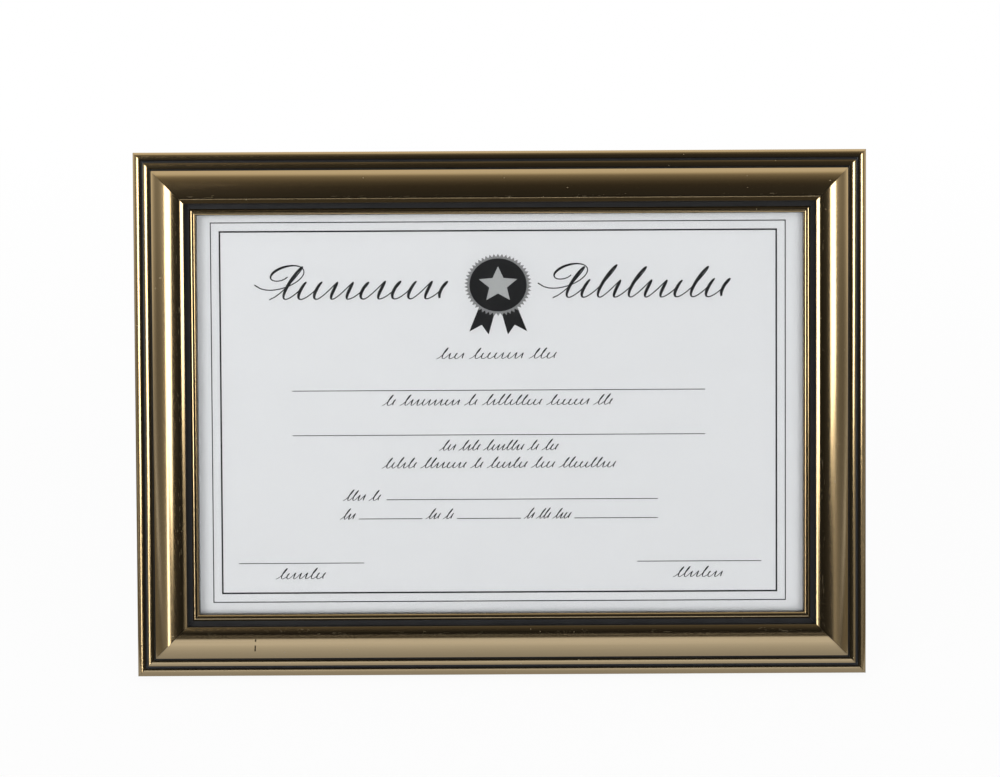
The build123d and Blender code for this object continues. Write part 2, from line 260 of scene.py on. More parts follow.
for name, inner, outer, foot, slant in (
    ("soft_box_left", -0.56, -0.96, -0.14, math.radians(-14)),
    ("soft_strip_left", -0.97, -1.13, -0.4, math.radians(-6)),
    ("soft_box_right", 0.72, 1.2, -0.07, math.radians(6)),
):
    box_middle = leant((inner + outer) / 2, outer_height / 2 + foot + box_height / 2, box_ahead)
    box = area_lamp(name, box_middle, box_glow, abs(outer - inner), box_height)
    box.rotation_euler = (leaning @ Matrix.Rotation(slant, 4, "Z")).to_euler()
    box.visible_diffuse = False

# The studio beyond the lamps, seen only in gloss: dark behind the camera, and lighter at the sides and
# overhead.
studio_radius = 2.2
studio_middle = (0, 0, 0.12)
off_floor = 0.001
deselect()
bpy.ops.mesh.primitive_uv_sphere_add(
    segments=96, ring_count=48, radius=studio_radius, location=studio_middle)
dome = bpy.context.object
dome.name = "studio_dark"
bpy.ops.object.mode_set(mode="EDIT")
bpy.ops.mesh.select_all(action="SELECT")
bpy.ops.mesh.bisect(plane_co=leant(0, 0, 0), plane_no=leant(0, 0, 1), clear_inner=True)
bpy.ops.mesh.select_all(action="SELECT")
bpy.ops.mesh.bisect(plane_co=(0, 0, off_floor), plane_no=(0, 0, 1), clear_inner=True)
bpy.ops.object.mode_set(mode="OBJECT")
paint, place = new_finish("studio_dark")
flat = paint.node("ShaderNodeVectorRotate", place, inputs={"Axis": (1, 0, 0), "Angle": lean - math.pi / 2})
across = paint.along(flat, "X")
above = paint.along(flat, "Y")
forward = paint.along(flat, "Z")
side_turn = across.sum("ARCTAN2", across.sum("ABSOLUTE", across), forward) / math.pi * 2
top_turn = above.sum("ARCTAN2", above, forward) / math.pi * 2
side_glow = paint.node("ShaderNodeValToRGB", side_turn, ramp=[
    (0.0, (0.03,) * 3), (0.45, (0.05,) * 3), (0.53, (0.69,) * 3), (0.63, (0.48,) * 3),
    (0.72, (0.35,) * 3), (0.86, (0.31,) * 3), (0.96, (0.6,) * 3)])
top_glow = paint.node("ShaderNodeValToRGB", top_turn, ramp=[
    (0.0, (0.02,) * 3), (0.4, (0.045, 0.042, 0.036)), (0.52, (0.09, 0.084, 0.072)),
    (0.67, (0.21, 0.196, 0.168)), (0.75, (0.31, 0.29, 0.25)), (0.79, (0.5, 0.48, 0.43)),
    (0.84, (0.85, 0.84, 0.8)), (0.88, (0.95,) * 3)])
low_down = paint.node("ShaderNodeMapRange", above, 0.03, 0.12, 0.55, 1.05)
side_glow = paint.node("ShaderNodeVectorMath", side_glow, low_down, operation="MULTIPLY")
both = paint.node("ShaderNodeMix", data_type="RGBA", blend_type="LIGHTEN", out=2,
                  inputs={0: 1.0, 6: side_glow, 7: top_glow})
dome.data.materials.append(paint.finish(paint.node("ShaderNodeEmission", both, 1.0)))

# Dark cards on the desk, seen only in gloss: two before the frame, with a bright gap between, and one at
# each side.
dark_cards = []
for name, left, right, near, far, glow in (
    ("desk_dark_near", -1.2, 1.2, -0.125, -0.72, (0.07, 0.066, 0.058, 1)),
    ("desk_dark_far", -1.2, 1.2, -1.02, -floor_reach, (0.07, 0.066, 0.058, 1)),
    ("desk_dark_left", -1.6, -0.26, 0.8, -0.125, (0.2, 0.19, 0.17, 1)),
    ("desk_dark_right", 0.26, 1.6, 0.8, -0.125, (0.2, 0.19, 0.17, 1)),
):
    card = plain_sheet(name, [(x, y, off_floor) for y in (far, near) for x in (left, right)])
    paint = Shader(bpy.data.materials.new(name))
    card.data.materials.append(paint.finish(paint.node("ShaderNodeEmission", glow, 1.0)))
    dark_cards.append(card)
for piece in (dome, *dark_cards):
    piece.visible_camera = False
    piece.visible_diffuse = False
    piece.visible_transmission = False
    piece.visible_shadow = False

# Far lamps light the matt surfaces evenly, a little more from the left, so that the left rail throws its
# soft shadow on the sheet. They aren't seen in gloss.
matt_lamp_width = 1.2
for name, place, glow in (
    ("matt_key_left", (-1.2, 0.2, 2.6), 4.4),
    ("matt_fill_front", (0.3, -0.5, 2.2), 3.2),
    ("matt_fill_right", (0.8, -0.1, 2.6), 3.3),
):
    lamp = area_lamp(name, leant(*(Vector(place) + frame_middle)), glow, matt_lamp_width, matt_lamp_width)
    lamp.rotation_euler = (lamp.location - leant(*frame_middle)).to_track_quat("Z", "Y").to_euler()
    lamp.visible_glossy = False


# The moulding: black polystyrene, drawn through a die and hot-stamped with gold foil on two beads, a wide
# dome and the lip. The coves and the groove between them stay black. Four lengths are mitred, and nailed
# together at the back.
moulding_width = 31 * mm
rabbet_width = 4.7 * mm
rabbet_depth = 7.3 * mm
back_chamfer = 0.6 * mm
bead_foot = 9.2 * mm
bead_1_crown = (3.35 * mm, 10.95 * mm)
bead_1_radius = 4.1 * mm
bead_1_end = 3.8 * mm
cove_1_floor = 10.1 * mm
bead_2_start = 5.25 * mm
bead_2_crown = (7.65 * mm, 11.8 * mm)
bead_2_radius = 5.1 * mm
bead_2_end = 8.15 * mm
cove_2_floor = 10.5 * mm
riser_foot = (9.0 * mm, 10.7 * mm)
dome_start = 9.1 * mm
dome_crown = (22.2 * mm, 17.4 * mm)
dome_radius = 18.8 * mm
shoulder_radius = 3.5 * mm
shoulder_end = 23.65 * mm
dome_end = (25.15 * mm, 16.3 * mm)
dome_end_swell = 0.03 * mm
groove_start = 25.25 * mm
groove_height = 12.4 * mm
lip_start = 27.75 * mm
lip_crest = (29.15 * mm, 13.2 * mm)
lip_edge_height = 11.8 * mm


def flat_arc(start, middle, end, steps):
    """Points along the round stretch through three points, without its first."""
    (ax, ay), (bx, by), (cx, cy) = start, middle, end
    a2, b2, c2 = ax * ax + ay * ay, bx * bx + by * by, cx * cx + cy * cy
    twice = 2 * (ax * (by - cy) + bx * (cy - ay) + cx * (ay - by))
    ux = (a2 * (by - cy) + b2 * (cy - ay) + c2 * (ay - by)) / twice
    uy = (a2 * (cx - bx) + b2 * (ax - cx) + c2 * (bx - ax)) / twice
    radius = math.hypot(ax - ux, ay - uy)
    first = math.atan2(ay - uy, ax - ux)
    last = math.atan2(cy - uy, cx - ux)
    through = math.atan2(by - uy, bx - ux)
    turn = (last - first) % math.tau
    if (through - first) % math.tau > turn:
        turn -= math.tau
    angles = [first + turn * step / steps for step in range(1, steps + 1)]
    return [(ux + radius * math.cos(angle), uy + radius * math.sin(angle)) for angle in angles]


def moulding_section():
    """Points round the section from the outer back edge, each with its stretch's finish."""
    points = [((back_chamfer, 0), "black"), ((0, back_chamfer), "black"), ((0, bead_foot), "black")]

    def on(crown, radius, run):
        return (run, crown[1] - radius + math.sqrt(radius**2 - (run - crown[0]) ** 2))

    def round_to(middle, end, steps, finish):
        points.extend((point, finish) for point in flat_arc(points[-1][0], middle, end, steps))

    def crown_to(crown, radius, start, end, steps):
        round_to(on(crown, radius, (start + end) / 2), on(crown, radius, end), steps, "gold")

    def dip_to(end, floor):
        round_to(((points[-1][0][0] + end[0]) / 2, floor), end, 12, "black")

    crown_to(bead_1_crown, bead_1_radius, 0, bead_1_end, 18)
    dip_to(on(bead_2_crown, bead_2_radius, bead_2_start), cove_1_floor)
    crown_to(bead_2_crown, bead_2_radius, bead_2_start, bead_2_end, 18)
    dip_to(riser_foot, cove_2_floor)
    points.append((on(dome_crown, dome_radius, dome_start), "gold"))
    round_to(on(dome_crown, dome_radius, (dome_start + dome_crown[0]) / 2), dome_crown, 40, "gold")
    crown_to(dome_crown, shoulder_radius, dome_crown[0], shoulder_end, 12)
    (run, rise), (end_run, end_rise) = points[-1][0], dome_end
    round_to(((run + end_run) / 2, (rise + end_rise) / 2 + dome_end_swell), dome_end, 6, "gold")
    points += [((groove_start, groove_height), "black"), ((lip_start, groove_height), "black")]
    round_to(lip_crest, (moulding_width, lip_edge_height), 20, "gold")
    rabbet_edge = moulding_width - rabbet_width
    rabbet = [(moulding_width, rabbet_depth), (rabbet_edge, rabbet_depth), (rabbet_edge, 0)]
    return points + [(point, "black") for point in rabbet]


def pick(piece):
    """Selects one piece alone."""
    deselect()
    piece.select_set(True)
    bpy.context.view_layer.objects.active = piece


def stand(piece, local=Matrix()):
    """Leans a finished flat piece back into its place, with its object left at the origin."""
    pick(piece)
    piece.matrix_world = leaning @ local
    bpy.ops.object.transform_apply()


def running_girth(section):
    """How far round the section each of its points lies."""
    lengths = [0]
    for (before, finish), (after, finish) in zip(section, section[1:]):
        lengths.append(lengths[-1] + math.dist(before, after))
    return lengths


def extruded(name, places, push):
    """A block drawn out of a flat outline, left in edit mode."""
    deselect()
    bpy.ops.mesh.primitive_circle_add(vertices=len(places), fill_type="NGON")
    block = bpy.context.object
    block.name = name
    for vertex, place in zip(block.data.vertices, places):
        vertex.co = place
    bpy.ops.object.mode_set(mode="EDIT")
    bpy.ops.mesh.select_all(action="SELECT")
    bpy.ops.mesh.extrude_region_move(TRANSFORM_OT_translate={"value": push})
    return block


def turn_faces_out():
    """Turns the faces of the piece in edit mode outwards, and leaves that mode."""
    bpy.ops.mesh.select_all(action="SELECT")
    bpy.ops.mesh.normals_make_consistent(inside=False)
    bpy.ops.object.mode_set(mode="OBJECT")


def make_rail(name, run, reach, quarter_turns, paints):
    """One mitred rail, made as the bottom one is and then turned round the frame's middle."""
    section = moulding_section()
    rail = extruded(name, [(-run / 2, *point) for point, finish in section], (run, 0, 0))
    for end in (-1, 1):
        bpy.ops.mesh.select_all(action="SELECT")
        tip = (end * (run / 2 - mitre_gap), 0, 0)
        bpy.ops.mesh.bisect(plane_co=tip, plane_no=(end, 1, 0), clear_outer=True, use_fill=True)
    turn_faces_out()
    girth = {}
    for (point, finish), length in zip(section, running_girth(section)):
        girth[round(point[0], 6), round(point[1], 6)] = length
    finish_at = {}
    for index, (point, finish) in enumerate(section):
        before = section[index - 1][0]
        finish_at[round(point[0] + before[0], 5), round(point[1] + before[1], 5)] = finish
    rail.data.materials.append(paints["black"])
    rail.data.materials.append(paints["gold"])
    spread = rail.data.uv_layers.new(name="moulding")
    for face in rail.data.polygons:
        corners = [rail.data.vertices[index].co for index in face.vertices]
        lowest = min((corner.y, corner.z) for corner in corners)
        highest = max((corner.y, corner.z) for corner in corners)
        is_gold = False
        if len(corners) == 4:
            key = round(lowest[0] + highest[0], 5), round(lowest[1] + highest[1], 5)
            is_gold = finish_at.get(key) == "gold"
        face.material_index = int(is_gold)
        for loop in face.loop_indices:
            co = rail.data.vertices[rail.data.loops[loop].vertex_index].co
            spread.data[loop].uv = (co.x, girth.get((round(co.y, 6), round(co.z, 6)), 0))
    bpy.ops.object.shade_smooth_by_angle(angle=math.radians(25))
    turned = Matrix.Translation(frame_middle) @ Matrix.Rotation(quarter_turns * math.pi / 2, 4, "Z")
    stand(rail, turned @ Matrix.Translation((0, -reach, 0)))
    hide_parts(name)
    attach(rail, "frame")


mitre_gap = 0.05 * mm
gold = (0.52, 0.38, 0.20, 1)
rubbed_gold = (0.60, 0.50, 0.34, 1)
streaked_gold = (0.42, 0.29, 0.13, 1)
bare_nick = (0.03, 0.02, 0.01, 1)
nick_place = -0.121
nick_width = 0.7 * mm
nick_start = 3.1 * mm
nick_length = 6.6 * mm
nick_break = (1.2 * mm, 3.2 * mm)
section = moulding_section()
crown_index = min(range(len(section)), key=lambda index: math.dist(section[index][0], dome_crown))
crown_girth = running_girth(section)[crown_index]
wear_width = 0.9 * mm
wear_wander = 6 * mm
speck_scale = 420.0
nick_limit = 30 * mm
nick_slant = 0.08
paint, place = new_finish("gold_foil")
along_and_round = paint.node("ShaderNodeUVMap", uv_map="moulding")
drawn = paint.node("ShaderNodeMapping", inputs={"Vector": along_and_round, "Scale": (9, 2200, 1)})
streaks = paint.noise(drawn, 1, 3)
clouds = paint.noise(place, 60, 5)
grain = paint.noise(place, 1800, 2)
specks = paint.node("ShaderNodeTexVoronoi", inputs={"Vector": place, "Scale": speck_scale})
chosen = paint.node("ShaderNodeTexVoronoi", out="Color", inputs={"Vector": place, "Scale": speck_scale})
chosen = paint.node("ShaderNodeSeparateColor", chosen, out="Red")
dust = (specks < 0.11) * (chosen > 0.95) * 0.7
girth = paint.along(along_and_round, "Y")
wander = paint.noise(place, 25, 3)
off_crown = girth.sum("ABSOLUTE", girth - crown_girth - (wander - 0.5) * wear_wander)
scraped = paint.node("ShaderNodeMapping", inputs={"Vector": along_and_round, "Scale": (140, 5200, 1)})
scuffs = paint.noise(scraped, 1, 4, Roughness=0.7)
rubbed = (off_crown < wear_width) * (scuffs > 0.64) * (clouds > 0.49)
worn = rubbed.sum("MAXIMUM", rubbed, dust)
tone = paint.mix(worn * 0.8, gold, rubbed_gold)
tone = paint.mix((streaks - 0.35) * 0.5, tone, streaked_gold)
low = paint.along(place, "Z") < nick_limit
aside = paint.along(place, "X") - nick_place
aside = aside + (crown_girth - girth) * nick_slant
past = crown_girth - nick_start - girth
chipped = low * (aside.sum("ABSOLUTE", aside) < nick_width / 2) * (past > 0) * (past < nick_length)
chipped = chipped * (1 - (past > nick_break[0]) * (past < nick_break[1]))
tone = paint.mix(chipped * 0.9, tone, bare_nick)
relief = paint.bump(streaks * 0.5 + grain * 0.25 + clouds * 0.5, 0.012 * mm, 0.35)
roughness = 0.12 + streaks * 0.06 + worn * 0.35 + chipped * 0.4
gold_foil = paint.principled(tone, roughness, relief, metallic=1.0)

paint, place = new_finish("black_moulding")
clouds = paint.noise(place, 110, 6)
pitting = paint.noise(place, 2400, 2)
tone = paint.mix(clouds, (0.010, 0.010, 0.0105, 1), (0.016, 0.016, 0.017, 1))
relief = paint.bump(pitting + clouds * 0.6, 0.02 * mm, 0.4)
black_moulding = paint.principled(tone, 0.28 + clouds * 0.14, relief)
paints = {"gold": gold_foil, "black": black_moulding}
for quarter_turns, side in enumerate(("bottom", "right", "top", "left")):
    run, across = (outer_height, outer_length) if quarter_turns % 2 else (outer_length, outer_height)
    make_rail(f"{side}_rail", run, across / 2, quarter_turns, paints)

# The pane: thin clear glass, cut to size and let into the rabbet from behind, with the faint smears of a
# wiping cloth.
wipe_slant = 0.6
paint, place = new_finish("clear_glass")
wipes = {"Vector": place, "Rotation": (0, wipe_slant, 0), "Scale": (40, 40, 9)}
wiped = paint.noise(paint.node("ShaderNodeMapping", inputs=wipes), 1, 5, Distortion=0.8)
clear = paint.node("ShaderNodeBsdfTransparent", (0.985, 0.99, 0.988, 1))
gloss = paint.node("ShaderNodeBsdfGlossy", (1, 1, 1, 1), 0.01 + wiped * 0.03)
mirrored = paint.node("ShaderNodeFresnel", 1.5)
clear_glass = paint.finish(paint.node("ShaderNodeMixShader", mirrored, clear, gloss))
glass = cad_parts["glass_pane"]
glass.data.materials.clear()
glass.data.materials.append(clear_glass)

# The certificate: a sheet of smooth white card, cut a little small for the rabbet, laid in behind the
# pane and held flat by the filler card.
sheet_trim = 0.4 * mm
sheet_length = 304.8 * mm - 2 * sheet_trim
sheet_height = 203.2 * mm - 2 * sheet_trim
sheet_back = 5.0 * mm
sheet_front = 5.2 * mm


def bar(x0, x1, y0, y1, z0, z1):
    """A plain block between two corners, on the frame's middle."""
    middle = ((x0 + x1) / 2, outer_height / 2 + (y0 + y1) / 2, (z0 + z1) / 2)
    deselect()
    bpy.ops.mesh.primitive_cube_add(size=1, location=middle, scale=(x1 - x0, y1 - y0, z1 - z0))
    bpy.ops.object.transform_apply()
    return bpy.context.object


def board(name, length, height, z0, z1):
    """A plain sheet or board on the frame's middle."""
    flat = bar(-length / 2, length / 2, -height / 2, height / 2, z0, z1)
    flat.name = name
    return flat


def joined(name, pieces):
    """The pieces as one object."""
    deselect()
    for piece in pieces:
        piece.select_set(True)
    bpy.context.view_layer.objects.active = pieces[0]
    bpy.ops.object.join()
    pieces[0].name = name
    return pieces[0]


def dress(piece, body, material, node=None):
    """Gives a piece its material and body, and hides the CAD node that it stands for."""
    piece.data.materials.clear()
    piece.data.materials.append(material)
    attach(piece, body)
    if node:
        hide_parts(node)


def finish_piece(piece, body, material, node=None, spot=Matrix()):
    """Leans a flat piece back into its spot, and dresses it."""
    stand(piece, spot)
    dress(piece, body, material, node)


paint, place = new_finish("certificate_paper")
pulp = paint.noise(place, 90, 6, Roughness=0.6)
fibre = paint.noise(place, 2600, 3)
tone = paint.mix(pulp, (0.81, 0.809, 0.83, 1), (0.835, 0.832, 0.85, 1))
paper = paint.principled(tone, 0.62 + pulp * 0.1, paint.bump(fibre, 0.02 * mm, 0.3))
sheet = board("paper_sheet", sheet_length, sheet_height, sheet_back, sheet_front)
finish_piece(sheet, "frame", paper, "certificate_sheet")

# The print: a double border and writing rules, laid on the sheet in black ink. All of the print is raised
# by the ink's own thickness, and is made as thin closed shapes.
ink_back = sheet_front
ink_front = sheet_front + 0.03 * mm
border_left, border_right = -143.0 * mm, 141.1 * mm
border_bottom, border_top = -93.5 * mm, 95.0 * mm
border_gap = 4.3 * mm
outer_line = 0.5 * mm
inner_line = 0.8 * mm
rule_line = 0.38 * mm


def ring_of_bars(x0, x1, y0, y1, line):
    """Four ink lines round a rectangle, inside its edges."""
    return [
        bar(x0, x1, y0, y0 + line, ink_back, ink_front),
        bar(x0, x1, y1 - line, y1, ink_back, ink_front),
        bar(x0, x0 + line, y0 + line, y1 - line, ink_back, ink_front),
        bar(x1 - line, x1, y0 + line, y1 - line, ink_back, ink_front),
    ]


def ink(name, dark, light):
    """Printing ink, a little uneven where the paper's tooth shows through."""
    paint, place = new_finish(name)
    grain = paint.noise(place, 1500, 4)
    tone = paint.mix(grain, dark, light)
    return paint.finish(paint.node("ShaderNodeBsdfPrincipled", inputs={
        "Base Color": tone, "Roughness": 0.45 + grain * 0.2}))


black_ink = ink("black_ink", (0.006, 0.006, 0.007, 1), (0.016, 0.016, 0.018, 1))
grey_ink = ink("grey_ink", (0.22, 0.22, 0.225, 1), (0.3, 0.3, 0.305, 1))
pale_ink = ink("pale_ink", (0.42, 0.425, 0.43, 1), (0.5, 0.505, 0.51, 1))
borders = ring_of_bars(border_left, border_right, border_bottom, border_top, outer_line)
borders += ring_of_bars(border_left + border_gap, border_right - border_gap, border_bottom + border_gap,
                        border_top - border_gap, inner_line)
finish_piece(joined("print_borders", borders), "frame", black_ink)
rules = [
    bar(x0 * mm, x1 * mm, y * mm, y * mm + rule_line, ink_back, ink_front)
    for x0, x1, y in (
        (-103.0, 101.2, 11.3),
        (-103.0, 101.2, -10.8),
        (-56.7, 77.7, -42.8),
        (-70.5, -39, -52.3),
        (-21.9, 9.8, -52.3),
        (36.3, 77.7, -52.3),
        (-130, -68, -74.2),
        (67.4, 128.9, -74.0),
    )
]
finish_piece(joined("print_rules", rules), "frame", black_ink)

# The seal: a printed disc with a toothed rim, a bare star and two ribbon tails, a little wider than high.
# Its layers of black and grey ink lie one over the other.
seal_middle = (-0.95 * mm, 63.5 * mm)
seal_widening = 1.08
seal_teeth = 50
rim_radius = 15.4 * mm
seal_tooth_depth = 1.5 * mm
disc_radius = 13.1 * mm
disc_sides = 96
star_radius = 9.2 * mm
star_waist_share = 0.46


def flat_shape(name, outline, z0, z1, rise=0):
    """A closed slab with the given outline, moved up by the rise."""
    slab = extruded(name, [(x, y + rise, z0) for x, y in outline], (0, 0, z1 - z0))
    turn_faces_out()
    return slab


def around_seal(radii, count):
    """An outline round the seal's middle that takes the given radii in turn."""
    outline = []
    for step in range(count):
        radius = radii[step % len(radii)]
        angle = math.tau * step / count
        x = seal_middle[0] + seal_widening * radius * math.sin(angle)
        outline.append((x, seal_middle[1] + radius * math.cos(angle)))
    return outline


layer = ink_front - ink_back
flat_middle = outer_height / 2
tail = [(-10.4, 52.6), (-15.3, 40.5), (-9.1, 43.8), (-5.7, 39.0), (-2.6, 50.0)]
tails = []
for side in (1, -1):
    outline = [(seal_middle[0] + side * (x * mm - seal_middle[0]), y * mm) for x, y in tail]
    tails.append(flat_shape("tail", outline, ink_back, ink_front, flat_middle))
finish_piece(joined("print_ribbons", tails), "frame", black_ink)
for name, radii, count, raised, printing_ink in (
    ("print_seal_rim", (rim_radius, rim_radius - seal_tooth_depth), 2 * seal_teeth, 0.3, grey_ink),
    ("print_seal_disc", (disc_radius,), disc_sides, 0.6, black_ink),
    ("print_seal_star", (star_radius, star_radius * star_waist_share), 10, 0.9, pale_ink),
):
    top = ink_front + raised * layer
    part = flat_shape(name, around_seal(radii, count), ink_back, top, flat_middle)
    finish_piece(part, "frame", printing_ink)

# Pen strokes where the sheet has its words: running loops in black ink that spell nothing, thick on the
# way down and thin on the way up, as a flexible nib writes. Two larger lines begin with a spiral swash.
script_slant = math.radians(38)
script_lean = math.tan(script_slant)
steps_a_loop = 14
tall_share = 0.28
tall_heights, low_heights = (1.65, 1.8), (0.9, 1.0)
tall_turn, low_turns = 0.3, (0.1, 0.22, 0.26)
swash_reach = 13 * mm
swash_turns = 1.35
swash_core_share = 0.22
swash_flatness = 0.62
swash_start = math.radians(-20)
steps_a_turn = 16
ink_flattening = 0.02


def write_stroke(curve, stroke):
    """Adds one pen stroke, given as places on the sheet with the pen's width at each."""
    spline = curve.data.splines.new("NURBS")
    spline.points.add(len(stroke) - 1)
    for point, (x, y, width) in zip(spline.points, stroke):
        point.co = (x, y + outer_height / 2, 0, 1)
        point.radius = width / 2
    spline.use_endpoint_u = True
    spline.order_u = 4


def running_loops(curve, x0, x1, baseline, body, words, thin, thick, seed):
    """Fills a line of the print with words made of loops, each begun with a tall one."""
    chance = random.Random(seed)
    slots = sum(words) + len(words) - 1
    pitch = (x1 - x0 - body * script_lean) / slots
    at = x0
    for loops in words:
        stroke = []
        for loop in range(loops):
            tall = loop == 0 or (chance.random() < tall_share and loop < loops - 1)
            height = body * chance.uniform(*(tall_heights if tall else low_heights))
            turn = pitch * (tall_turn if tall else chance.choice(low_turns))
            for step in range(steps_a_loop):
                t = step / steps_a_loop
                swing = math.sin(math.tau * t)
                y = height * (1 - math.cos(math.tau * t)) / 2
                x = at + pitch * (loop + t) + turn * swing + y * script_lean
                stroke.append((x, baseline + y, thin + (thick - thin) * max(0, -swing)))
        write_stroke(curve, stroke)
        at += pitch * (loops + 1)


def flourish(curve, x, y, thin, thick):
    """A flat spiral swash that opens from its middle."""
    steps = round(swash_turns * steps_a_turn)
    stroke = []
    for step in range(steps + 1):
        angle = swash_start - math.tau * swash_turns * step / steps
        grown = swash_reach * (swash_core_share + (1 - swash_core_share) * step / steps)
        up = swash_flatness * grown * math.sin(angle)
        width = thin + (thick - thin) * max(0, -math.cos(angle + script_slant)) ** 2
        stroke.append((x + grown * math.cos(angle) + up * script_lean, y + up, width))
    write_stroke(curve, stroke)


deselect()
bpy.ops.curve.primitive_nurbs_path_add()
script = bpy.context.object
script.data.splines.clear()
script.data.dimensions = "3D"
script.data.resolution_u = 2
script.data.bevel_depth = 1
script.data.bevel_resolution = 1
script.data.use_fill_caps = True
heading = (9.3 * mm, 0.55 * mm, 1.6 * mm)
small = (3.1 * mm, 0.3 * mm, 0.6 * mm)
for (body, thin, thick), x0, x1, baseline, words in (
    (heading, -114, -21.5, 56.7, (11,)),
    (heading, 26, 117.6, 57.0, (11,)),
    (small, -31.6, 29.5, 27.1, (4, 8, 4)),
    (small, -58.6, 57.0, 4.1, (2, 10, 2, 10, 7, 3)),
    (small, -30.6, 29.9, -18.3, (3, 4, 8, 2, 3)),
    (small, -59.0, 58.5, -27.0, (6, 8, 2, 7, 4, 10)),
    (small, -78.3, -58.1, -43.0, (4, 2)),
    (small, -79.8, -71.0, -52.3, (3,)),
    (small, -37.5, -22.2, -52.3, (3, 2)),
    (small, 11.2, 35.9, -52.3, (2, 3, 4)),
    (small, -111.8, -85.7, -81.8, (8,)),
    (small, 85.1, 111.4, -81.7, (8,)),
):
    seed = len(script.data.splines)
    running_loops(script, x0 * mm, x1 * mm, baseline * mm, body, words, thin, thick, seed)
for x, y in ((-107.0, 68.6), (33.0, 68.9)):
    flourish(script, x * mm, y * mm, heading[1], 0.8 * heading[2])
bpy.ops.object.convert(target="MESH")
script = bpy.context.object
script.name = "print_script"
script.scale.z = ink_flattening
script.location.z = (ink_back + ink_front) / 2
bpy.ops.object.transform_apply()
finish_piece(script, "frame", black_ink)

# The backing board: brown hardboard, sawn to fit the rabbet and set flush with the moulding's back. It
# presses the grey filler card on the certificate, and the buttons hold it.
board_length = 304.8 * mm
board_height = 203.2 * mm
board_thickness = 3 * mm
board_edge = 0.25 * mm


def modify(piece, kind, **settings):
    """Applies one modifier to a piece."""
    pick(piece)
    bpy.ops.object.modifier_add(type=kind)
    for key, value in settings.items():
        setattr(piece.modifiers[-1], key, value)
    bpy.ops.object.modifier_apply(modifier=piece.modifiers[-1].name)


def rounded(piece, width, segments=2, angle=math.radians(40)):
    """Rounds a piece's sharp edges."""
    modify(piece, "BEVEL", width=width, segments=segments, limit_method="ANGLE", angle_limit=angle)
    bpy.ops.object.shade_smooth_by_angle(angle=math.radians(35))
    return piece


def pulp_board(name, dark, light, fleck):
    """Pressed fibre: cloudy, with short flecks and a faint tooth."""
    paint, place = new_finish(name)
    clouds = paint.noise(place, 35, 8, Roughness=0.62)
    fibres = paint.noise(place, 700, 5, Distortion=1.5)
    tone = paint.mix((fibres > 0.62) * 0.6, paint.mix(clouds, dark, light), fleck)
    return paint.principled(tone, 0.75 + clouds * 0.12, paint.bump(fibres, 0.08 * mm, 0.5))


hardboard = pulp_board(
    "brown_hardboard", (0.15, 0.085, 0.045, 1), (0.22, 0.13, 0.07, 1), (0.30, 0.20, 0.12, 1))
back = rounded(board("hardboard_back", board_length, board_height, 0, board_thickness), board_edge)
finish_piece(back, "frame", hardboard, "backing_board")

# The filler card: grey pulp board, cut to fit the rabbet. It lies between the board and the certificate,
# and holds that flat on the pane.
grey_card = pulp_board("grey_card", (0.30, 0.30, 0.29, 1), (0.38, 0.38, 0.37, 1), (0.2, 0.2, 0.2, 1))
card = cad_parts["filler_card"]
card.data.materials.clear()
card.data.materials.append(grey_card)

# The metal on the back: zinc-plated steel for the screws, the hinge, the rivets and the nails across the
# mitres, and brass-plated steel for the stamped buttons and hangers. Both are a little stained and worn.


def plated(name, bright, dull, roughness):
    """Plated steel, stained in patches and finely scratched along its length."""
    paint, place = new_finish(name)
    stains = paint.noise(place, 160, 7, Roughness=0.65)
    brushed = paint.node("ShaderNodeMapping", inputs={"Vector": place, "Scale": (6000, 700, 700)})
    relief = paint.bump(paint.noise(brushed, 1, 2), 0.01 * mm, 0.35)
    tone = paint.mix((stains - 0.3) * 2.2, bright, dull)
    return paint.principled(tone, roughness + stains * 0.2, relief, metallic=1.0)


zinc = plated("zinc_plate", (0.62, 0.63, 0.64, 1), (0.42, 0.43, 0.45, 1), 0.24)
brass = plated("brass_plate", (0.80, 0.58, 0.27, 1), (0.58, 0.40, 0.17, 1), 0.18)


def rail_spot(quarter_turns, along, inset):
    """Takes a piece made at the origin, its inside to +Y, to a rail's back."""
    reach = (outer_height if quarter_turns % 2 == 0 else outer_length) / 2
    turn = Matrix.Rotation(quarter_turns * math.pi / 2, 4, "Z")
    return Matrix.Translation(frame_middle) @ turn @ Matrix.Translation((along, inset - reach, 0))


def copied(piece, name):
    """A copy of a piece with its own mesh."""
    pick(piece)
    bpy.ops.object.duplicate()
    bpy.context.object.name = name
    return bpy.context.object


def round_bar(radius, z0, z1, x=0, y=0, sides=48):
    """A closed cylinder along Z between two heights."""
    middle = (x, y, (z0 + z1) / 2)
    deselect()
    bpy.ops.mesh.primitive_cylinder_add(vertices=sides, radius=radius, depth=z1 - z0, location=middle)
    bpy.ops.object.transform_apply()
    return bpy.context.object


def thickened(strip, thickness):
    """Gives a bent strip its thickness, to the rear, and turns its faces outwards."""
    modify(strip, "SOLIDIFY", thickness=thickness, offset=-1)
    bpy.ops.object.mode_set(mode="EDIT")
    turn_faces_out()
    return strip


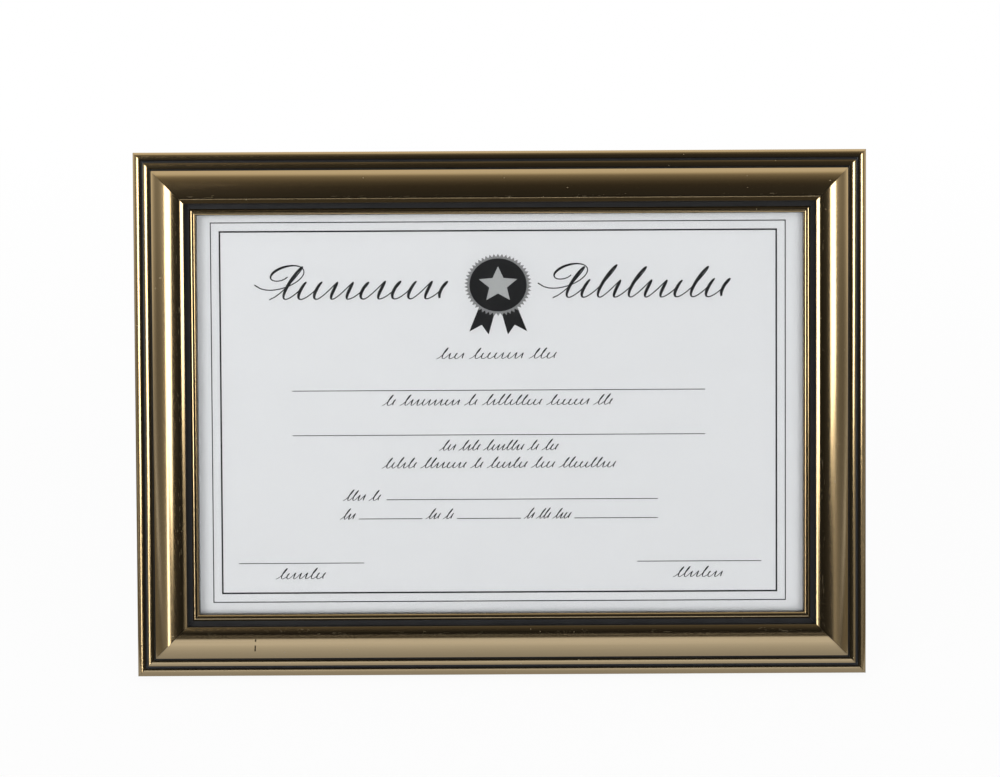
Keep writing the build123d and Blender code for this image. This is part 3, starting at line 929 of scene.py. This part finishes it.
# Turn buttons: tabs stamped from brass-plated steel, their tips bent up for the finger. Each turns on a
# slotted zinc-plated screw with a domed head, driven into the moulding's back.
button_length = 22 * mm
button_width = 9 * mm
button_thickness = 1 * mm
button_heel = 5 * mm
button_lift = 1.5 * mm
button_bend = 4 * mm
button_gap = 0.2 * mm
button_inset = 20 * mm
button_rows = 45
button_columns = 9
button_end_least = 0.2 * mm
button_edge = 0.2 * mm
screw_radius = 1.5 * mm
screw_depth = 8 * mm
screw_head_radius = 3.2 * mm
screw_head_height = 1.6 * mm
screw_head_gap = 0.15 * mm
screw_head_round = 0.55 * mm
screw_neck = 0.2 * mm
screw_slot_width = 0.8 * mm
screw_slot_depth = 0.7 * mm
screw_slot_step = math.radians(37)
button_spots = {
    "top_left": (2, 95 * mm),
    "top_right": (2, -95 * mm),
    "bottom_left": (0, -95 * mm),
    "bottom_right": (0, 95 * mm),
    "left": (3, 58 * mm),
    "right": (1, -58 * mm),
}

deselect()
bpy.ops.mesh.primitive_grid_add(x_subdivisions=button_columns, y_subdivisions=button_rows, size=2)
button = bpy.context.object
tip = button_length - button_heel
end_radius = button_width / 2
for vertex in button.data.vertices:
    run = (1 - math.cos((vertex.co.y + 1) * math.pi / 2)) / 2
    y = -button_heel + run * button_length
    into_end = max(0, -button_heel + end_radius - y, y - tip + end_radius)
    half_width = math.sqrt(max(end_radius**2 - into_end**2, button_end_least**2))
    lifted = max(0, y - tip + button_bend) / button_bend
    vertex.co = (vertex.co.x * half_width, y, -button_gap - button_lift * lifted)
rounded(thickened(button, button_thickness), button_edge)

head_front = -(button_gap + button_thickness + screw_head_gap)
head = round_bar(screw_head_radius, head_front - screw_head_height, head_front, sides=64)
rounded(head, screw_head_round, 4)
deselect()
bpy.ops.mesh.primitive_cube_add(
    size=1,
    location=(0, 0, head_front - screw_head_height),
    scale=(3 * screw_head_radius, screw_slot_width, 2 * screw_slot_depth),
)
slot_cutter = bpy.context.object
modify(head, "BOOLEAN", object=slot_cutter, operation="DIFFERENCE", solver="EXACT")
bpy.data.objects.remove(slot_cutter)
shank = round_bar(screw_radius, head_front - screw_neck, screw_depth, sides=24)
screw = joined("screw", [head, shank])
screws = []
for turn, (name, (quarter_turns, along)) in enumerate(button_spots.items()):
    spot = rail_spot(quarter_turns, along, button_inset)
    tab = copied(button, f"brass_button_{name}")
    finish_piece(tab, f"button_{name}", brass, f"turn_button_{name}", spot)
    one = copied(screw, "screw_copy")
    stand(one, spot @ Matrix.Rotation(turn * screw_slot_step, 4, "Z"))
    screws.append(one)
bpy.data.objects.remove(button)
bpy.data.objects.remove(screw)
dress(joined("zinc_screws", screws), "frame", zinc, "turn_button_screws")

# Saw-tooth hangers: a strip stamped from brass-plated steel, with two feet and a raised bridge that is
# toothed on its inner edge. A round-headed brass nail holds each foot on the rail.
hanger_length = 46 * mm
hanger_depth = 9 * mm
hanger_thickness = 0.8 * mm
hanger_rise = 2 * mm
hanger_foot = 8 * mm
hanger_slope = 3 * mm
hanger_inset = 13 * mm
hanger_corner = 0.6 * mm
hanger_edge = 0.12 * mm
tooth_pitch = 2.5 * mm
tooth_depth = 1.8 * mm
tooth_count = 9
nail_radius = 0.8 * mm
nail_depth = 7 * mm
nail_head_radius = 2 * mm
nail_head_height = 0.6 * mm
nail_head_round = 0.25 * mm
nail_neck = 0.1 * mm
foot_end = hanger_length / 2 - hanger_foot
bridge_end = foot_end - hanger_slope
half_row = tooth_count * tooth_pitch / 2
stops = [hanger_length / 2, hanger_length / 2 - hanger_corner, foot_end, bridge_end]
columns = [(-x, 0) for x in stops] + [
    (-half_row + step * tooth_pitch / 2, tooth_depth * (step % 2)) for step in range(2 * tooth_count + 1)
] + [(x, 0) for x in reversed(stops)]
deselect()
bpy.ops.mesh.primitive_grid_add(x_subdivisions=len(columns) - 1, y_subdivisions=2, size=2)
hanger = bpy.context.object
for vertex in hanger.data.vertices:
    x, notch = columns[round((vertex.co.x + 1) / 2 * (len(columns) - 1))]
    trimmed = hanger_corner if abs(x) > hanger_length / 2 - hanger_corner / 2 else 0
    rise = hanger_rise * min(1, max(0, (foot_end - abs(x)) / hanger_slope))
    y = vertex.co.y * (hanger_depth / 2 - trimmed)
    if vertex.co.y > 0.9:
        y -= notch
    vertex.co = (x, y, -rise)
rounded(thickened(hanger, hanger_thickness), hanger_edge, angle=math.radians(50))
nail_seat = -hanger_thickness
nail_head = round_bar(nail_head_radius, nail_seat - nail_head_height, nail_seat, sides=32)
nail_shank = round_bar(nail_radius, nail_seat - nail_neck, nail_depth, sides=16)
nail = joined("nail", [rounded(nail_head, nail_head_round, 3), nail_shank])
nails = []
for side, quarter_turns in (("top", 2), ("left", 3)):
    spot = rail_spot(quarter_turns, 0, hanger_inset)
    strip = copied(hanger, f"brass_hanger_{side}")
    finish_piece(strip, "frame", brass, f"sawtooth_hanger_{side}", spot)
    for end in (-1, 1):
        one = copied(nail, "nail_copy")
        stand(one, spot @ Matrix.Translation((end * (hanger_length - hanger_foot) / 2, 0, 0)))
        nails.append(one)
bpy.data.objects.remove(hanger)
bpy.data.objects.remove(nail)
dress(joined("brass_nails", nails), "frame", brass, "hanger_nails")

# V nails: folded zinc-plated steel, two across each mitre, driven from behind until their edges stand just
# proud of the moulding's back.
v_nail_leg = 7 * mm
v_nail_thickness = 0.6 * mm
v_nail_depth = 6 * mm
v_nail_proud = 0.06 * mm
v_nail_insets = (8 * mm, 16 * mm)


def corner_spot(x_side, y_side, inset):
    """A place on the back, as far in from both edges of a corner."""
    from_middle = Vector((x_side * (outer_length / 2 - inset), y_side * (outer_height / 2 - inset), 0))
    return Matrix.Translation(frame_middle + from_middle)


v_nail_outline = [
    (0, 0),
    (-v_nail_leg, 0),
    (-v_nail_leg, -v_nail_thickness),
    (-v_nail_thickness, -v_nail_thickness),
    (-v_nail_thickness, -v_nail_leg),
    (0, -v_nail_leg),
]
v_nails = []
for quarter_turns, (x_side, y_side) in enumerate(((1, 1), (-1, 1), (-1, -1), (1, -1))):
    for inset in v_nail_insets:
        v_nail = flat_shape("v_nail", v_nail_outline, -v_nail_proud, v_nail_depth)
        turn = Matrix.Rotation(quarter_turns * math.pi / 2, 4, "Z")
        stand(v_nail, corner_spot(x_side, y_side, inset) @ turn)
        v_nails.append(v_nail)
dress(joined("zinc_v_nails", v_nails), "frame", zinc, "corner_v_nails")

# Wall bumpers: soft black rubber pads with rounded rims, stuck on at the four back corners. They keep the
# frame off the wall.
bumper_radius = 6 * mm
bumper_thickness = 5 * mm
bumper_inset = 13 * mm
bumper_round = 1 * mm
paint, place = new_finish("bumper_rubber")
bloom = paint.noise(place, 260, 6)
tone = paint.mix(bloom, (0.014, 0.014, 0.014, 1), (0.035, 0.034, 0.033, 1))
rubber = paint.principled(tone, 0.6 + bloom * 0.2, paint.bump(bloom, 0.05 * mm, 0.4))
pads = []
for x_side in (-1, 1):
    for y_side in (-1, 1):
        pad = rounded(round_bar(bumper_radius, -bumper_thickness, 0, sides=64), bumper_round, 5)
        stand(pad, corner_spot(x_side, y_side, bumper_inset))
        pads.append(pad)
dress(joined("rubber_pads", pads), "frame", rubber, "wall_bumpers")

# The strut: a tapered leg of fibreboard, covered in black leather-grained paper and cut level at its foot.
# It hangs from the hinge that follows, whose first sizes set its place.
hinge_height = 175 * mm
hinge_drop = 2.15 * mm
knuckle_radius = 1.85 * mm
leaf_thickness = 0.8 * mm
leg_thickness = 2.5 * mm
leg_top_width = 32 * mm
leg_foot_width = 58 * mm
leg_round = 5 * mm
leg_corner_steps = 8
leg_edge = 0.35 * mm
leg_top_gap = 0.9 * mm
leg_reach = 215 * mm
leg_opening = math.radians(28)
hinge_spot = Matrix.Translation((0, hinge_height, -hinge_drop))
leg_spot = hinge_spot @ Matrix.Rotation(leg_opening, 4, "X")
leg_rear = leaf_thickness - knuckle_radius

paint, place = new_finish("black_strut_paper")
cells = paint.node("ShaderNodeTexVoronoi", inputs={"Vector": place, "Scale": 900.0, "Randomness": 0.9})
clouds = paint.noise(place, 45, 7)
tone = paint.mix(clouds, (0.013, 0.013, 0.014, 1), (0.03, 0.029, 0.028, 1))
strut_paper = paint.principled(tone, 0.5 + clouds * 0.2, paint.bump(cells, 0.12 * mm, 0.6))

leg_top = -(knuckle_radius + leg_top_gap)
outline = [(-leg_foot_width / 2, -leg_reach), (leg_foot_width / 2, -leg_reach)]
for side in (1, -1):
    x, y = side * (leg_top_width / 2 - leg_round), leg_top - leg_round
    turns = [math.pi / 2 * step / leg_corner_steps for step in range(leg_corner_steps + 1)]
    for turn in turns if side > 0 else reversed(turns):
        outline.append((x + side * leg_round * math.cos(turn), y + leg_round * math.sin(turn)))
leg = flat_shape("paper_covered_leg", outline, leg_rear, leg_rear + leg_thickness)
stand(leg, leg_spot)
bpy.ops.object.mode_set(mode="EDIT")
bpy.ops.mesh.select_all(action="SELECT")
bpy.ops.mesh.bisect(plane_co=(0, 0, 0), plane_no=(0, 0, -1), clear_outer=True, use_fill=True)
bpy.ops.object.mode_set(mode="OBJECT")
dress(rounded(leg, leg_edge, 3), "strut", strut_paper, "strut_leg")

# The hinge: two leaves of zinc-plated steel, their knuckles rolled round one pin. The leg's leaf runs on
# past the pin as a heel, which meets the board's leaf and stops the strut when it is open.
hinge_width = 26 * mm
leaf_length = 22 * mm
leaf_corner = 2 * mm
leaf_corner_swell = 0.3 * leaf_corner
leaf_edge = 0.15 * mm
pin_radius = 1 * mm
pin_overhang = 0.6 * mm
pin_edge = 0.3 * mm
knuckle_width = 9.4 * mm
knuckle_gap = 0.3 * mm
knuckle_relief = 0.8 * mm
heel_length = 4.637 * mm
leg_leaf_width = 20 * mm


def knuckle(x0, x1, radius, edge, segments=2):
    """A round barrel along X between two places, with rounded rims."""
    middle = ((x0 + x1) / 2, 0, 0)
    deselect()
    bpy.ops.mesh.primitive_cylinder_add(
        vertices=40, radius=radius, depth=x1 - x0, location=middle, rotation=(0, math.pi / 2, 0))
    bpy.ops.object.transform_apply()
    return rounded(bpy.context.object, edge, segments)


gap_edge = knuckle_width / 2 + knuckle_gap
relief_top = knuckle_radius + knuckle_relief


def far_corners(width, far, inwards):
    """The two trimmed corners at a leaf's far end, from right to left."""
    half = width / 2
    right = [
        (half, far + inwards * leaf_corner),
        (half - leaf_corner_swell, far + inwards * leaf_corner_swell),
        (half - leaf_corner, far),
    ]
    return right + [(-x, y) for x, y in reversed(right)]


def hinge_leaf(name, outline, z0, z1, barrels):
    """A flat plate with its rolled knuckles, as one piece."""
    pieces = [rounded(flat_shape("plate", outline, z0, z1), leaf_edge)]
    for x0, x1 in barrels:
        pieces.append(knuckle(x0, x1, knuckle_radius, leaf_edge))
    return joined(name, pieces)


board_outline = [
    (-hinge_width / 2, 0),
    (-gap_edge, 0),
    (-gap_edge, relief_top),
    (gap_edge, relief_top),
    (gap_edge, 0),
    (hinge_width / 2, 0),
    *far_corners(hinge_width, leaf_length, -1),
]
board_barrels = [(-hinge_width / 2, -gap_edge), (gap_edge, hinge_width / 2)]
leaf = hinge_leaf("zinc_board_leaf", board_outline, hinge_drop - leaf_thickness, hinge_drop, board_barrels)
finish_piece(leaf, "frame", zinc, "hinge_board_leaf", hinge_spot)

leg_outline = [
    (-knuckle_width / 2, heel_length),
    (-knuckle_width / 2, leg_top),
    (-leg_leaf_width / 2, leg_top),
    *reversed(far_corners(leg_leaf_width, -leaf_length, 1)),
    (leg_leaf_width / 2, leg_top),
    (knuckle_width / 2, leg_top),
    (knuckle_width / 2, heel_length),
]
leg_barrels = [(-knuckle_width / 2, knuckle_width / 2)]
leaf = hinge_leaf("zinc_leg_leaf", leg_outline, -knuckle_radius, leg_rear, leg_barrels)
finish_piece(leaf, "strut", zinc, "hinge_leg_leaf", leg_spot)

pin_end = hinge_width / 2 + pin_overhang
pin = knuckle(-pin_end, pin_end, pin_radius, pin_edge, 3)
pin.name = "zinc_pin"
finish_piece(pin, "frame", zinc, "hinge_pin", hinge_spot)

# The rivets: two pairs of zinc-plated steel, one through the board's leaf and the board, one through the
# leg's leaf and the leg. Their domed heads show behind, and their flanges lie in seats on the far side.
rivet_head_radius = 2.8 * mm
rivet_head_height = 0.8 * mm
rivet_head_round = 0.5 * mm
rivet_neck = 0.1 * mm
rivet_radius = 1.5 * mm
rivet_flange_radius = 3 * mm
rivet_flange_height = 0.6 * mm
rivet_flange_proud = 0.04 * mm
rivet_flange_edge = 0.1 * mm
rivet_drop = 13.2 * mm
board_rivet_spacing = 15 * mm
leg_rivet_spacing = 10 * mm
board_rivet_short = 0.05 * mm


def rivet_pair(name, node, body, spacing, y, rear, grip, spot):
    """Two rivets: domed heads behind the leaf, and flat flanges in their seats on the far side."""
    pieces = []
    for side in (-1, 1):
        x = side * spacing / 2
        far = rear + grip
        head = round_bar(rivet_head_radius, rear - rivet_head_height, rear, x, y)
        pieces.append(rounded(head, rivet_head_round, 4))
        pieces.append(round_bar(rivet_radius, rear - rivet_neck, far, x, y, 24))
        flange = round_bar(rivet_flange_radius, far - rivet_flange_height, far + rivet_flange_proud, x, y)
        pieces.append(rounded(flange, rivet_flange_edge))
    finish_piece(joined(name, pieces), body, zinc, node, spot)


rivet_pair("zinc_board_rivets", "board_rivets", "frame", board_rivet_spacing, rivet_drop,
           hinge_drop - leaf_thickness, leaf_thickness + board_thickness - board_rivet_short, hinge_spot)
rivet_pair("zinc_leg_rivets", "leg_rivets", "strut", leg_rivet_spacing, -rivet_drop,
           leg_rear - leaf_thickness, leaf_thickness + leg_thickness, leg_spot)

bpy.context.scene.view_settings.view_transform = "Standard"
